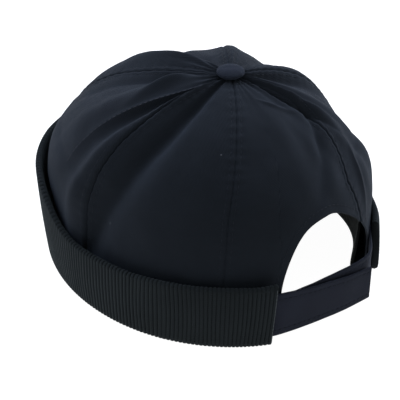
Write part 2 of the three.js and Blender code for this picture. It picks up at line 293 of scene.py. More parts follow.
def angle_between(a, b):
    return (a - b + 180) % 360 - 180


def front_to_back(pair, angle):
    """A blend of two values, the first at the front and the second at the back."""
    return pair[1] + (pair[0] - pair[1]) * (0.5 + 0.5 * np.cos(np.radians(angle)))


def hem_reach(angle):
    """Half an oval in front and half of another behind."""
    across = np.sin(np.radians(angle))
    along = np.cos(np.radians(angle))
    return 1 / np.hypot(across / SIDE_REACH, along / np.where(along > 0, FRONT_REACH, BACK_REACH))


def on_plan(angle, reach, height):
    turn = np.radians(angle)
    x, y, z = np.broadcast_arrays(reach * np.sin(turn), -reach * np.cos(turn), height)
    return np.stack([x, y, z], axis=-1) + PLAN_SHIFT


def foot_pull(angle):
    """How far the strap pulls the foot of the crown in."""
    return sum(share * STRAP_PULL * np.exp(-(angle_between(angle, at) / width) ** 2)
               for at, share, width in PULLS)


def run_along(steps):
    """The distance run at each point of a line, from the lengths of its steps."""
    return np.concatenate([[0], np.cumsum(steps)])


def smooth_noise(points, size):
    """Even noise between -1 and 1 that depends on the place alone."""
    flat = points.reshape(-1, 3) / size
    values = np.array([noise.noise(Vector(p)) for p in flat])
    return values.reshape(points.shape[:-1])


def seam_angle(seam, share):
    at, bow, lean, _ = seam
    way = np.clip((share - SEAM_LEAN_FROM) / (1 - SEAM_LEAN_FROM), 0, 1)
    return at + lean * way + 4 * bow * way * (1 - way)


def fold_line(fold, share):
    """How far along its run a fold is at a share of the crown's height, and its angle there."""
    way = np.clip((share - fold["low"]) / (fold["high"] - fold["low"]), 0, 1)
    first, middle, last = fold["angles"]
    bow = middle - (first + last) / 2
    return way, first + (last - first) * way + 4 * bow * way * (1 - way)


def fold_lift(angle, share):
    lift = np.zeros(np.broadcast(angle, share).shape)
    for fold in FOLDS:
        way, line = fold_line(fold, share)
        fade = np.sin(np.pi * way ** FOLD_FADE_POWER)
        off = np.abs(angle_between(angle, line) / fold["width"])
        lift = lift + fold["depth"] * fade * np.exp(-off ** fold["edge"])
    return lift


def crown_reach(angle, share):
    """Distance from the crown's axis, without its folds."""
    power = 2 / front_to_back(CROWN_SQUARENESS, angle)
    return hem_reach(angle) * np.cos(share * np.pi / 2) ** power


def seam_relief(angle, share):
    """Each seam's groove, the seam allowances that swell beside it, its puckers and its stitch channels."""
    relief = np.zeros(np.broadcast(angle, share).shape)
    length = share * CROWN_HEIGHT * math.pi / 2
    for seam in SEAMS:
        off = np.radians(angle_between(angle, seam_angle(seam, share))) * crown_reach(angle, share)
        relief = relief - seam[3] * SEAM_GROOVE_DEPTH * np.exp(-(off / SEAM_GROOVE_WIDTH) ** 2)
        relief = relief + SEAM_SWELL * np.exp(-(off / SEAM_SWELL_WIDTH) ** 4)
        wander = 3 * np.sin(length / PUCKER_WANDER + seam[0])
        pucker = np.sin(2 * np.pi * length / PUCKER_PITCH + wander)
        relief = relief + PUCKER_DEPTH * pucker * np.exp(-(off / PUCKER_REACH) ** 2)
        for side in (-1, 1):
            channel = np.exp(-((off - side * STITCH_OFFSET) / STITCH_CHANNEL_WIDTH) ** 2)
            relief = relief - STITCH_CHANNEL_DEPTH * channel
    return relief


def crown_place(angle, share, depth, relief=None):
    """A point of the crown, with share 0 at its foot and 1 at its top, and a depth into the cloth."""
    turn = share * np.pi / 2
    power = 2 / front_to_back(CROWN_SQUARENESS, angle)
    inward = np.cos(turn) ** power
    upward = np.sin(turn) ** power
    swell = 1 + front_to_back(CROWN_BULGE, angle) * SWELL_PEAK * upward ** 3 * (1 - upward)
    pull = foot_pull(angle) * np.clip(1 - upward / PULL_FADE_SHARE, 0, 1)
    lift = (fold_lift(angle, share) if relief is None else relief) - depth
    reach = inward * swell * (hem_reach(angle) - GUTTER_INSET - pull) + lift * np.cos(turn)
    height = FOOT_HEIGHT + upward * (CROWN_HEIGHT - FOOT_HEIGHT) + lift * np.sin(turn)
    place = on_plan(angle, reach, np.maximum(height, FOOT_HEIGHT))
    place[..., 0] -= CROWN_SHIFT_RIGHT * upward
    place[..., 1] += CROWN_SHIFT_BACK * upward
    return place


def calm_share(angle):
    """How much of the small wrinkles and gathers shows at an angle."""
    return 1 - SMOOTH_SHARE * np.exp(-(angle_between(angle, SMOOTH_ANGLE) / SMOOTH_WIDTH) ** 4)


def wrinkles(angle, share):
    turn, up = np.broadcast_arrays(np.radians(angle), share)
    across = [WRINKLE_CLOSENESS * np.cos(turn), WRINKLE_CLOSENESS * np.sin(turn)]
    places = np.stack([*across, WRINKLE_CHANGES * up], axis=-1)
    fade_in = np.clip((share - WRINKLE_FOOT) / WRINKLE_FADE_IN, 0, 1)
    fade = fade_in * np.clip((1 - share) / WRINKLE_FADE_OUT, 0, 1)
    return WRINKLE_DEPTH * calm_share(angle) * fade * smooth_noise(places, 1.0)


def crown_relief(angle, share):
    """All that lifts the cloth off the crown's plain form."""
    gather = np.sin(GATHER_COUNT * np.radians(angle) + 2 * np.sin(5 * np.radians(angle)))
    relief = fold_lift(angle, share) + seam_relief(angle, share) + wrinkles(angle, share)
    relief = relief + GATHER_DEPTH * gather * calm_share(angle) * np.exp(-((1 - share) / GATHER_REACH) ** 2)
    plain = crown_place(angle, share, 0, np.zeros(relief.shape))
    above_hem = np.clip(share / CLOTH_WAVE_FADE_IN, 0, 1)
    for size, depth in CLOTH_WAVES:
        relief = relief + depth * smooth_noise(plain, size) * above_hem
    return relief


def arch_side(turn, side, margin):
    off = np.minimum(np.abs(turn) / (ARCH_REACH[side] + math.degrees(margin / BACK_REACH)), 1)
    squareness = ARCH_SQUARENESS[side]
    return (ARCH_HEIGHT + margin) * (1 - off ** squareness) ** (1 / squareness)


def arch_edge(angle, margin=0.0):
    """Height of the half moon's edge, or of a line that runs round it at a margin."""
    turn = angle_between(angle, ARCH_TOP_ANGLE)
    return np.where(turn > 0, arch_side(turn, "right", margin), arch_side(turn, "left", margin))


def share_at_height(angle, height):
    upward = np.clip((height - FOOT_HEIGHT) / (CROWN_HEIGHT - FOOT_HEIGHT), 0, 1)
    return np.arcsin(upward ** (front_to_back(CROWN_SQUARENESS, angle) / 2)) / (np.pi / 2)


def crown_edge(angle):
    """Share at which the cloth starts: its foot, or the edge of the half moon."""
    return share_at_height(angle, arch_edge(angle))


def activate(piece):
    bpy.ops.object.select_all(action="DESELECT")
    piece.select_set(True)
    bpy.context.view_layer.objects.active = piece


def new_piece(name, corners, faces):
    mesh = bpy.data.meshes.new(name)
    mesh.from_pydata(corners.tolist(), [], faces)
    piece = bpy.data.objects.new(name, mesh)
    bpy.context.collection.objects.link(piece)
    activate(piece)
    return piece


def shell(name, rings, places, smooth_angle):
    """A closed body from rings of points, joined one after the other, with both ends capped.
    places are the points' own places on the cloth, kept as the UV map."""
    count, side = rings.shape[:2]
    i, j = np.meshgrid(np.arange(count - 1), np.arange(side), indexing="ij")
    a = i * side + j
    b = i * side + (j + 1) % side
    faces = np.stack([a, a + side, b + side, b], axis=-1).reshape(-1, 4).tolist()
    faces.append(list(range(side)))
    faces.append(list(range(count * side - 1, (count - 1) * side - 1, -1)))
    piece = new_piece(name, rings.reshape(-1, 3), faces)
    corner = np.empty(len(piece.data.loops), dtype=np.int32)
    piece.data.loops.foreach_get("vertex_index", corner)
    uv = piece.data.uv_layers.new(name="cloth")
    uv.data.foreach_set("uv", places.reshape(-1, 2)[corner].astype(np.float32).ravel())
    bpy.ops.object.shade_smooth_by_angle(angle=math.radians(smooth_angle))
    return piece


def settle(piece, slot, *nodes):
    """Every piece of the cap moves with its one body, and the solids it stands for are hidden. The slot is
    not used.
    """
    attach(piece, "root")
    if nodes:
        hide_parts(*nodes)
    return piece


def paint(piece, material):
    piece.data.materials.clear()
    piece.data.materials.append(material)
    return piece


# Materials

def node_group(name, inputs, outputs):
    group = bpy.data.node_groups.new(name, "ShaderNodeTree")
    for label, value in inputs:
        socket = group.interface.new_socket(name=label, in_out="INPUT", socket_type="NodeSocketFloat")
        socket.default_value = value
    for label, kind in outputs:
        group.interface.new_socket(name=label, in_out="OUTPUT", socket_type=kind)
    return group, group.nodes.new("NodeGroupInput"), group.nodes.new("NodeGroupOutput")


def math_node(tree, operation, first, second=None, third=None):
    node = tree.nodes.new("ShaderNodeMath")
    node.operation = operation
    for socket, value in zip(node.inputs, (first, second, third)):
        if value is None:
            continue
        if isinstance(value, (int, float)):
            socket.default_value = value
        else:
            tree.links.new(value, socket)
    return node.outputs[0]


def noise_node(tree, vector, scale, detail=2.0, roughness=0.5):
    node = tree.nodes.new("ShaderNodeTexNoise")
    node.inputs["Scale"].default_value = scale
    node.inputs["Detail"].default_value = detail
    node.inputs["Roughness"].default_value = roughness
    tree.links.new(vector, node.inputs["Vector"])
    return node.outputs["Fac"]


def ramp_node(tree, value, low, high):
    """0 below low, 1 above high, and smooth between."""
    node = tree.nodes.new("ShaderNodeMapRange")
    node.interpolation_type = "SMOOTHSTEP"
    node.inputs["From Min"].default_value = low
    node.inputs["From Max"].default_value = high
    tree.links.new(value, node.inputs["Value"])
    return node.outputs["Result"]


def make_twill_weave():
    """Diagonal ribs of cotton twill, uneven where the yarn is slubbed."""
    group, given, result = node_group(
        "twill weave",
        [("Threads per metre", 1500.0), ("Unevenness", 0.5)],
        [("Height", "NodeSocketFloat")],
    )
    place = group.nodes.new("ShaderNodeUVMap")
    place.uv_map = "cloth"
    split = group.nodes.new("ShaderNodeSeparateXYZ")
    group.links.new(place.outputs[0], split.inputs[0])
    across, along = split.outputs[0], split.outputs[1]
    slub = noise_node(group, place.outputs[0], 900.0, 3.0, 0.6)
    sway = math_node(group, "MULTIPLY", slub, given.outputs["Unevenness"])
    diagonal = math_node(group, "ADD", across, math_node(group, "MULTIPLY", along, 0.55))
    turns = math_node(group, "MULTIPLY", diagonal, given.outputs["Threads per metre"])
    swayed = math_node(group, "ADD", turns, sway)
    rib = math_node(group, "SINE", math_node(group, "MULTIPLY", swayed, 2 * math.pi))
    weft = math_node(group, "MULTIPLY", along, given.outputs["Threads per metre"])
    pick = math_node(group, "SINE", math_node(group, "MULTIPLY", weft, 4 * math.pi))
    height = math_node(group, "MULTIPLY_ADD", rib, 0.35, math_node(group, "MULTIPLY_ADD", pick, 0.12, 0.5))
    group.links.new(height, result.inputs["Height"])
    return group


def make_loose_fibres():
    """Cloudy fading of the dye, and specks of lint caught on the nap."""
    group, given, result = node_group(
        "loose fibres",
        [("Fade size", 30.0), ("Lint size", 260.0), ("Lint share", 0.02)],
        [("Fade", "NodeSocketFloat"), ("Lint", "NodeSocketFloat"), ("Fuzz", "NodeSocketFloat")],
    )
    place = group.nodes.new("ShaderNodeTexCoord")
    cloud = group.nodes.new("ShaderNodeTexNoise")
    cloud.inputs["Detail"].default_value = 4.0
    group.links.new(place.outputs["Object"], cloud.inputs["Vector"])
    group.links.new(given.outputs["Fade size"], cloud.inputs["Scale"])
    speck = group.nodes.new("ShaderNodeTexVoronoi")
    speck.feature = "F1"
    group.links.new(place.outputs["Object"], speck.inputs["Vector"])
    group.links.new(given.outputs["Lint size"], speck.inputs["Scale"])
    split = group.nodes.new("ShaderNodeSeparateColor")
    group.links.new(speck.outputs["Color"], split.inputs[0])
    chosen = math_node(group, "LESS_THAN", split.outputs[0], given.outputs["Lint share"])
    near = math_node(group, "LESS_THAN", speck.outputs["Distance"], 0.22)
    fuzz = noise_node(group, place.outputs["Object"], 2600.0, 2.0, 0.7)
    group.links.new(cloud.outputs["Fac"], result.inputs["Fade"])
    group.links.new(math_node(group, "MULTIPLY", chosen, near), result.inputs["Lint"])
    group.links.new(fuzz, result.inputs["Fuzz"])
    return group


def make_rib_knit_yarn():
    """Small leaning loops of yarn that run up each rib of the knit."""
    group, given, result = node_group(
        "rib knit yarn",
        [("Loops per metre", 780.0), ("Lean", 0.55)],
        [("Height", "NodeSocketFloat"), ("Valley", "NodeSocketFloat")],
    )
    place = group.nodes.new("ShaderNodeUVMap")
    place.uv_map = "cloth"
    split = group.nodes.new("ShaderNodeSeparateXYZ")
    group.links.new(place.outputs[0], split.inputs[0])
    across, along = split.outputs[0], split.outputs[1]
    off_middle = math_node(group, "SUBTRACT", math_node(group, "FRACT", across), 0.5)
    in_rib = math_node(group, "ABSOLUTE", off_middle)
    rows = math_node(group, "MULTIPLY", along, given.outputs["Loops per metre"])
    leaned = math_node(group, "MULTIPLY_ADD", in_rib, given.outputs["Lean"], rows)
    loops = math_node(group, "SINE", math_node(group, "MULTIPLY", leaned, 2 * math.pi))
    hair = noise_node(group, place.outputs[0], 40.0, 3.0, 0.6)
    height = math_node(group, "MULTIPLY_ADD", loops, 0.3, math_node(group, "MULTIPLY", hair, 0.5))
    group.links.new(height, result.inputs["Height"])
    # Valley is 1 between the ribs, where the knit's colour is darkened as painted shade.
    group.links.new(ramp_node(group, in_rib, 0.3, 0.5), result.inputs["Valley"])
    return group


twill_weave = make_twill_weave()
loose_fibres = make_loose_fibres()
rib_knit_yarn = make_rib_knit_yarn()


def colour_mix(tree, factor, first, second):
    node = tree.nodes.new("ShaderNodeMix")
    node.data_type = "RGBA"
    for label, value in (("Factor", factor), ("A", first), ("B", second)):
        socket = node.inputs[label]
        if isinstance(value, bpy.types.NodeSocket):
            tree.links.new(value, socket)
        elif isinstance(value, tuple):
            socket.default_value = (*value, 1.0)
        else:
            socket.default_value = value
    return node.outputs["Result"]


def group_node(tree, group, **values):
    node = tree.nodes.new("ShaderNodeGroup")
    node.node_tree = group
    for label, value in values.items():
        node.inputs[label.replace("_", " ")].default_value = value
    return node


def start_material(name, roughness, sheen_colour):
    material = bpy.data.materials.new(name)
    material.use_nodes = True
    shader = material.node_tree.nodes["Principled BSDF"]
    shader.inputs["Roughness"].default_value = roughness
    shader.inputs["Specular IOR Level"].default_value = 0.08
    shader.inputs["Sheen Weight"].default_value = SHEEN_WEIGHT
    shader.inputs["Sheen Roughness"].default_value = 0.45
    shader.inputs["Sheen Tint"].default_value = (*sheen_colour, 1.0)
    return material, material.node_tree, shader


def bump(tree, shader, height, distance):
    node = tree.nodes.new("ShaderNodeBump")
    node.inputs["Strength"].default_value = 1.0
    node.inputs["Distance"].default_value = distance
    tree.links.new(height, node.inputs["Height"])
    tree.links.new(node.outputs["Normal"], shader.inputs["Normal"])


def cotton_twill(name, dark, light, threads=1400.0):
    material, tree, shader = start_material(name, 0.85, (0.6, 0.75, 1.0))
    weave = group_node(tree, twill_weave, Threads_per_metre=threads, Unevenness=0.6)
    fibres = group_node(tree, loose_fibres, Fade_size=28.0, Lint_size=420.0, Lint_share=0.0006)
    faded = colour_mix(tree, ramp_node(tree, fibres.outputs["Fade"], 0.3, 0.7), dark, light)
    woven = colour_mix(tree, weave.outputs["Height"], tuple(0.75 * c for c in dark), faded)
    linted = colour_mix(tree, fibres.outputs["Lint"], woven, (0.07, 0.075, 0.09))
    tree.links.new(linted, shader.inputs["Base Color"])
    height = math_node(tree, "MULTIPLY_ADD", fibres.outputs["Fuzz"], 0.5, weave.outputs["Height"])
    bump(tree, shader, height, WEAVE_DEPTH)
    return material


def rib_knit(name, dark, light):
    material, tree, shader = start_material(name, 0.9, (0.75, 0.95, 1.0))
    yarn = group_node(tree, rib_knit_yarn, Loops_per_metre=780.0, Lean=0.55)
    fibres = group_node(tree, loose_fibres, Fade_size=22.0, Lint_size=420.0, Lint_share=0.003)
    faded = colour_mix(tree, ramp_node(tree, fibres.outputs["Fade"], 0.3, 0.7), dark, light)
    # Painted shade: the knit is darker in the valleys between its ribs.
    shaded = colour_mix(tree, yarn.outputs["Valley"], faded, tuple(0.7 * c for c in dark))
    linted = colour_mix(tree, fibres.outputs["Lint"], shaded, (0.06, 0.065, 0.07))
    tree.links.new(linted, shader.inputs["Base Color"])
    height = math_node(tree, "MULTIPLY_ADD", fibres.outputs["Fuzz"], 0.4, yarn.outputs["Height"])
    bump(tree, shader, height, YARN_DEPTH)
    return material


def thread(name, colour):
    material, tree, shader = start_material(name, 0.6, (0.7, 0.8, 1.0))
    fibres = group_node(tree, loose_fibres, Fade_size=200.0, Lint_size=300.0, Lint_share=0.0)
    dark, light = (tuple(share * c for c in colour) for share in (0.7, 1.3))
    mixed = colour_mix(tree, fibres.outputs["Fade"], dark, light)
    tree.links.new(mixed, shader.inputs["Base Color"])
    bump(tree, shader, fibres.outputs["Fuzz"], THREAD_FUZZ_DEPTH)
    return material


crown_cotton = cotton_twill("crown cotton", (0.0078, 0.0106, 0.0150), (0.0106, 0.0142, 0.0200))
button_cotton = cotton_twill("button cotton", (0.010, 0.0135, 0.021), (0.014, 0.018, 0.028))
strap_cotton = cotton_twill("strap cotton", (0.0105, 0.0125, 0.0205), (0.0135, 0.0165, 0.027))
knit = rib_knit("rib knit", (0.0076, 0.0100, 0.0117), (0.0108, 0.0140, 0.0162))
# Painted shade: a darker copy of the crown cotton for the inside faces of the crown, which stand in the cap's
# shadow.
crown_inside_painted_shade = cotton_twill("crown inside painted shade", (0.0035, 0.004, 0.005), (0.005, 0.0058, 0.007), threads=1100.0)
# Painted shade: a darker copy of the rib knit for the inner band, which stands in the cap's shadow.
inner_knit_painted_shade = rib_knit("inner rib knit painted shade", (0.004, 0.0045, 0.0045), (0.006, 0.0066, 0.0064))
sewing_thread = thread("sewing thread", (0.0085, 0.011, 0.016))
tuck_thread = thread("tuck thread", (0.034, 0.038, 0.05))
edge_thread = thread("edge thread", (0.055, 0.065, 0.07))


# Crown

def panel_columns(start, end):
    """Columns of a panel, set closer along the half moon where its edge is steep."""
    side = math.copysign(1, (start + end) / 2 - ARCH_TOP_ANGLE)
    arch_end = ARCH_REACH["right" if side > 0 else "left"]
    near = min(side * (start - ARCH_TOP_ANGLE), side * (end - ARCH_TOP_ANGLE))
    far = near + end - start
    if near >= arch_end:
        return np.linspace(start, end, PANEL_COLUMNS + 1)
    arch_steps = round(PANEL_COLUMNS * ARCH_COLUMNS_SHARE)
    first = math.asin(near / arch_end)
    turns = np.linspace(first, math.pi / 2, arch_steps + 1)
    past = np.linspace(arch_end, far, PANEL_COLUMNS - arch_steps + 1)[1:]
    offs = np.concatenate([arch_end * np.sin(turns), past])
    return np.sort(ARCH_TOP_ANGLE + side * offs)


def sew_panel(index):
    """One panel, from its seam to the next: its outside, its inside and the rounded edge that joins them."""
    first, second = SEAMS[index], SEAMS[(index + 1) % len(SEAMS)]
    start, end = first[0], first[0] + (second[0] - first[0]) % 360
    columns = panel_columns(start, end)
    way = (columns - start) / (end - start)
    low = crown_edge(columns)
    step = CROWN_WALL / 2 / (CROWN_HEIGHT * math.pi / 2)
    rows = np.linspace(0, 1, PANEL_ROWS + 1)
    share = (low + step)[:, None] + (CROWN_TOP_SHARE - low - step)[:, None] * rows[None, :]
    first_lean = seam_angle(first, share) - first[0]
    second_lean = seam_angle(second, share) - second[0]
    lean = first_lean * (1 - way[:, None]) + second_lean * way[:, None]
    angle = columns[:, None] + lean
    middle = (start + end) / 2 + lean
    relief = crown_relief(angle, share)
    outside = crown_place(angle, share, 0, relief)
    inside = crown_place(angle, share, CLOTH_THICKNESS, relief)
    turn = np.linspace(0, math.pi, EDGE_STEPS + 2)[1:-1]
    edge_share = share[:, :1] - step * np.sin(turn)[None, :]
    edge_depth = CLOTH_THICKNESS / 2 * (1 + np.cos(turn))[None, :]
    edge_angle = np.repeat(angle[:, :1], EDGE_STEPS, axis=1)
    edge = crown_place(edge_angle, edge_share, edge_depth, relief[:, :1])
    rings = np.concatenate([edge, outside, inside[:, ::-1]], axis=1)
    across = np.radians(angle - middle) * crown_reach(angle, share)
    along = share * CROWN_HEIGHT * math.pi / 2
    places = np.stack([across, along], axis=-1)
    edge_places = np.repeat(places[:, :1], EDGE_STEPS, axis=1)
    places = np.concatenate([edge_places, places, places[:, ::-1]], axis=1)
    panel = shell(f"crown_panel_{index + 1}_cloth", rings, places, PANEL_SMOOTH_ANGLE)
    paint(panel, crown_cotton)
    # The inside faces take the darker copy of the cotton: painted shade inside the crown.
    panel.data.materials.append(crown_inside_painted_shade)
    inner_faces = np.arange(len(panel.data.polygons)) % rings.shape[1] > EDGE_STEPS + PANEL_ROWS
    panel.data.polygons.foreach_set("material_index", inner_faces.astype(np.int32))
    return panel


panels = [settle(sew_panel(index), "crown_cloth", f"crown_panel_{index + 1}") for index in range(len(SEAMS))]


# Cuff and band

def rib_shape(across):
    """Height of a rounded rib over its valley, from 0 to 1. A whole number of across is a valley."""
    off = np.abs(across % 1.0 - 0.5) * 2
    return np.sqrt(np.clip(1 - off ** RIB_SQUARENESS, 0, 1))


def rib_columns(per_rib):
    """Angles of the columns of a knitted ribbon, and how many ribs each stands from its start."""
    count = RIB_COUNT * per_rib + 1
    return np.linspace(RIBBON_START, OPENING_START, count), np.linspace(0, RIB_COUNT, count)


def wandering(draw, ribs, spacing, size):
    """Values that change softly along the ribs, drawn anew every spacing ribs."""
    drawn_at = np.arange(0, RIB_COUNT + spacing + 1, spacing)
    return np.interp(ribs, drawn_at, draw.normal(0, size, len(drawn_at)))


def band_leave(angle, way):
    """How far the inner layer of the band stands off the crown at a share of its height, 0 at its foot."""
    curl = BAND_CURL * np.exp(-(angle_between(angle, OPENING_END) / BAND_CURL_WIDTH) ** 2)
    return BAND_LEAN * (1 - way) + curl * (1 - (1 - BAND_CURL_AT_EDGE) * way)


def rim_height(angle):
    rises = [rise * math.exp(-abs(angle_between(angle, at) / width) ** power)
             for at, rise, width, power in RIM_FORM]
    return CUFF_HEIGHT * (1 + sum(rises))


def cuff_outline(angle):
    """The cuff's section at an angle: distance out of the hem's line, height, and how much of a rib shows."""
    height = rim_height(angle)
    flare = height * front_to_back(CUFF_FLARE, angle)
    crown_inside = GUTTER_INSET + foot_pull(angle) + CROWN_WALL
    inside = crown_inside + BAND_GAP + band_leave(angle, 0) + BAND_THICKNESS
    half = CUFF_THICKNESS / 2
    points = [(-inside, 0.0, 0.0), (-0.6 * inside, 0.0, 0.0), (-0.0016, 0.0, 0.5), (-0.0004, 0.0006, 1.0)]
    for way in np.linspace(0.05, 0.94, CUFF_STEPS_OUTSIDE):
        belly = CUFF_BELLY * math.sin(math.pi * way)
        points.append((flare * way + belly, height * way, 1.0))
    for turn in np.linspace(0.1, 0.9, CUFF_STEPS_RIM) * math.pi:
        points.append((flare - half + half * math.cos(turn), height - half + half * math.sin(turn), 1.0))
    for way in np.linspace(0.9, 0.1, CUFF_STEPS_INSIDE):
        points.append((flare * way - CUFF_THICKNESS, height * way, INSIDE_RIB_SHARE))
    points.append((-CUFF_THICKNESS, HEM_THICKNESS, 0.0))
    points.append((-inside, HEM_THICKNESS, 0.0))
    return points


def cuff_turn(angle, height, rim):
    """The near end of the cuff is cut on a slant, so its ribs lean over towards their foot."""
    slant = CUFF_END_SLANT * np.exp(-(angle_between(angle, OPENING_START) / CUFF_END_SLANT_WIDTH) ** 2)
    return angle - slant * (1 - np.clip(height / rim, 0, 1))


def knit_cuff():
    """The turned-up cuff, one section after another from its far end to its near one."""
    angles, ribs = rib_columns(COLUMNS_PER_RIB)
    draw = np.random.default_rng(RIB_DRAW)
    sway = wandering(draw, ribs, RIM_WANDER_RIBS, RIM_WANDER)
    fills = 1 + RIB_UNEVENNESS * draw.standard_normal(RIB_COUNT + 1)
    fullness = np.interp(ribs, np.arange(RIB_COUNT + 1) + 0.5, fills)
    lean = wandering(draw, ribs, RIB_LEAN_RIBS, RIB_LEAN)
    rings = []
    places = []
    for angle, rib, drift, full, tilt in zip(angles, ribs, sway, fullness, lean):
        out, height, share = np.array(cuff_outline(angle)).T
        rim = height.max()
        groove = RIB_DEPTH * full * share * (1 - rib_shape(rib))
        outside = np.where(out > -CUFF_THICKNESS / 2, -1.0, 1.0)
        top = height > rim - CUFF_THICKNESS / 2
        down = np.where(top, groove * RIM_GROOVE[0], 0.0)
        sideways = np.where(top, groove * RIM_GROOVE[1] * outside, groove * outside)
        rise = height - down + drift * np.clip(height / CUFF_HEIGHT, 0, 1)
        turned = cuff_turn(angle, height, rim) + tilt * np.sin(np.pi * height / rim)
        rings.append(on_plan(turned, hem_reach(angle) + out + sideways, np.maximum(rise, 0)))
        run = run_along(np.hypot(np.diff(out), np.diff(height)))
        places.append(np.stack([np.full(len(run), rib), run], axis=-1))
    return shell("cuff_knit", np.array(rings), np.array(places), KNIT_SMOOTH_ANGLE)


def knit_inner_band():
    angles, ribs = rib_columns(BAND_COLUMNS_PER_RIB)
    rows = np.linspace(0, 1, BAND_ROWS + 1)
    rings = []
    places = []
    for angle, rib in zip(angles, ribs):
        share = share_at_height(angle, BAND_HEIGHT) * rows
        depth = CROWN_WALL + BAND_GAP + band_leave(angle, rows)
        groove = BAND_RIB_DEPTH * (1 - rib_shape(rib))
        outside = crown_place(np.full(rows.shape, angle), share, depth)
        inside = crown_place(np.full(rows.shape, angle), share, depth + BAND_THICKNESS - groove)
        rings.append(np.concatenate([outside, inside[::-1]]))
        run = rows * BAND_HEIGHT
        around = np.concatenate([run, run[::-1]])
        places.append(np.stack([np.full(len(around), rib), around], axis=-1))
    return shell("inner_band_knit", np.array(rings), np.array(places), KNIT_SMOOTH_ANGLE)


cuff = settle(paint(knit_cuff(), knit), "rib_knit", "cuff")
# The inner band takes the darker copy of the knit: painted shade inside the cap.
band = settle(paint(knit_inner_band(), inner_knit_painted_shade), "rib_knit", "inner_band")


# Strap

def beside_cuff(angle, height):
    lean = np.minimum(front_to_back(CUFF_FLARE, angle), 0) * height
    return on_plan(angle, hem_reach(angle) - CUFF_THICKNESS - LAYER_GAP + lean, height)


def strap_end(height):
    return on_plan(STRAP_END_ANGLE, STRAP_END_REACH, height)


def smooth_path(points, steps):
    """Points evenly along a smooth curve through the given ones."""
    points = np.array(points)
    knots = run_along(np.sqrt(np.linalg.norm(np.diff(points, axis=0), axis=1)))
    padded = np.vstack([2 * points[0] - points[1], points, 2 * points[-1] - points[-2]])
    times = np.concatenate([[knots[0] - (knots[1] - knots[0])], knots, [2 * knots[-1] - knots[-2]]])
    samples = []
    for i in range(len(points) - 1):
        t0, t1, t2, t3 = times[i:i + 4]
        p0, p1, p2, p3 = padded[i:i + 4]
        for t in np.linspace(t1, t2, SAMPLES_PER_SPAN, endpoint=False):
            a1 = (t1 - t) / (t1 - t0) * p0 + (t - t0) / (t1 - t0) * p1
            a2 = (t2 - t) / (t2 - t1) * p1 + (t - t1) / (t2 - t1) * p2
            a3 = (t3 - t) / (t3 - t2) * p2 + (t - t2) / (t3 - t2) * p3
            b1 = (t2 - t) / (t2 - t0) * a1 + (t - t0) / (t2 - t0) * a2
            b2 = (t3 - t) / (t3 - t1) * a2 + (t - t1) / (t3 - t1) * a3
            samples.append((t2 - t) / (t2 - t1) * b1 + (t - t1) / (t2 - t1) * b2)
    samples = np.array(samples + [points[-1]])
    run = run_along(np.linalg.norm(np.diff(samples, axis=0), axis=1))
    even = np.linspace(0, run[-1], steps + 1)
    return np.stack([np.interp(even, run, samples[:, k]) for k in range(3)], axis=-1), even


def strap_section():
    """Shares of the way across and of the thickness, round a folded strap with soft edges."""
    rounded = 0.025
    across = np.linspace(rounded, 1 - rounded, STRAP_STEPS_ACROSS)
    turn = np.linspace(0, math.pi, 6)[1:-1]
    points = [(a, 0.0) for a in across]
    points += [(1 - rounded + rounded * math.sin(t), 0.5 - 0.5 * math.cos(t)) for t in turn]
    points += [(a, 1.0) for a in across[::-1]]
    points += [(rounded - rounded * math.sin(t), 0.5 + 0.5 * math.cos(t)) for t in turn]
    return np.array(points)


def sew_strap(name, low_edge, high_edge):
    """A strap between two edges, with its two stitch lines and the directions out of the cloth along them."""
    low, run = smooth_path(low_edge, STRAP_STEPS)
    high, _ = smooth_path(high_edge, STRAP_STEPS)
    tangent = np.gradient(low, axis=0)
    inward = np.stack([-tangent[:, 1], tangent[:, 0], np.zeros(len(low))], axis=-1)
    inward /= np.linalg.norm(inward, axis=1, keepdims=True)
    section = strap_section()
    rings = []
    places = []
    for i in range(len(low)):
        way, thick = section[:, :1], section[:, 1:]
        point = low[i] + (high[i] - low[i]) * way
        channel = np.exp(-((np.minimum(way, 1 - way) - STRAP_STITCH_SHARE) / STRAP_CHANNEL_SHARE) ** 2)
        depth = STRAP_THICKNESS * thick + STITCH_CHANNEL_DEPTH * channel * (1 - 2 * thick)
        rings.append(point + inward[i] * depth)
        places.append(np.concatenate([np.full((len(section), 1), run[i]), way * STRAP_WIDTH], axis=1))
    rings = np.array(rings)
    wave_size, wave_depth = STRAP_WAVE
    wave = smooth_noise(rings, wave_size)[..., None] * inward[:, None, :] * wave_depth
    stitch_lines = []
    for way in (STRAP_STITCH_SHARE, 1 - STRAP_STITCH_SHARE):
        line = low + (high - low) * way
        stitch_lines.append(line + (smooth_noise(line, wave_size) * wave_depth)[:, None] * inward)
    return shell(name, rings + wave, np.array(places), STRAP_SMOOTH_ANGLE), stitch_lines, -inward


def tucked_edge(deep, mouth, height):
    return [beside_cuff(deep + (mouth - deep) * way, height) for way in np.linspace(0, 1, 5)]


def bow_out(along, way):
    """How a strap's run bows out between its ends. along points to the wearer's left, and way is 0 to 1."""
    outward = np.array([-along[1], along[0], 0.0])
    return outward / np.linalg.norm(outward) * STRAP_BOW * math.sin(math.pi * way)


def outer_strap():
    """The strap's upper layer, from under the near end of the cuff to its free end."""
    edges = []
    for side in (0, 1):
        height = FOOT_HEIGHT + side * STRAP_WIDTH
        tucked = tucked_edge(OPENING_START - TUCK_ANGLE, OPENING_START, height)
        mouth, end = tucked[-1], strap_end(STRAP_BOTTOM + side * STRAP_END_WIDTH)
        free = [mouth + (end - mouth) * way + bow_out(mouth - end, way) for way in (0.35, 0.7, 1)]
        edges.append(tucked + free)
    return sew_strap("strap_outer_cloth", *edges)


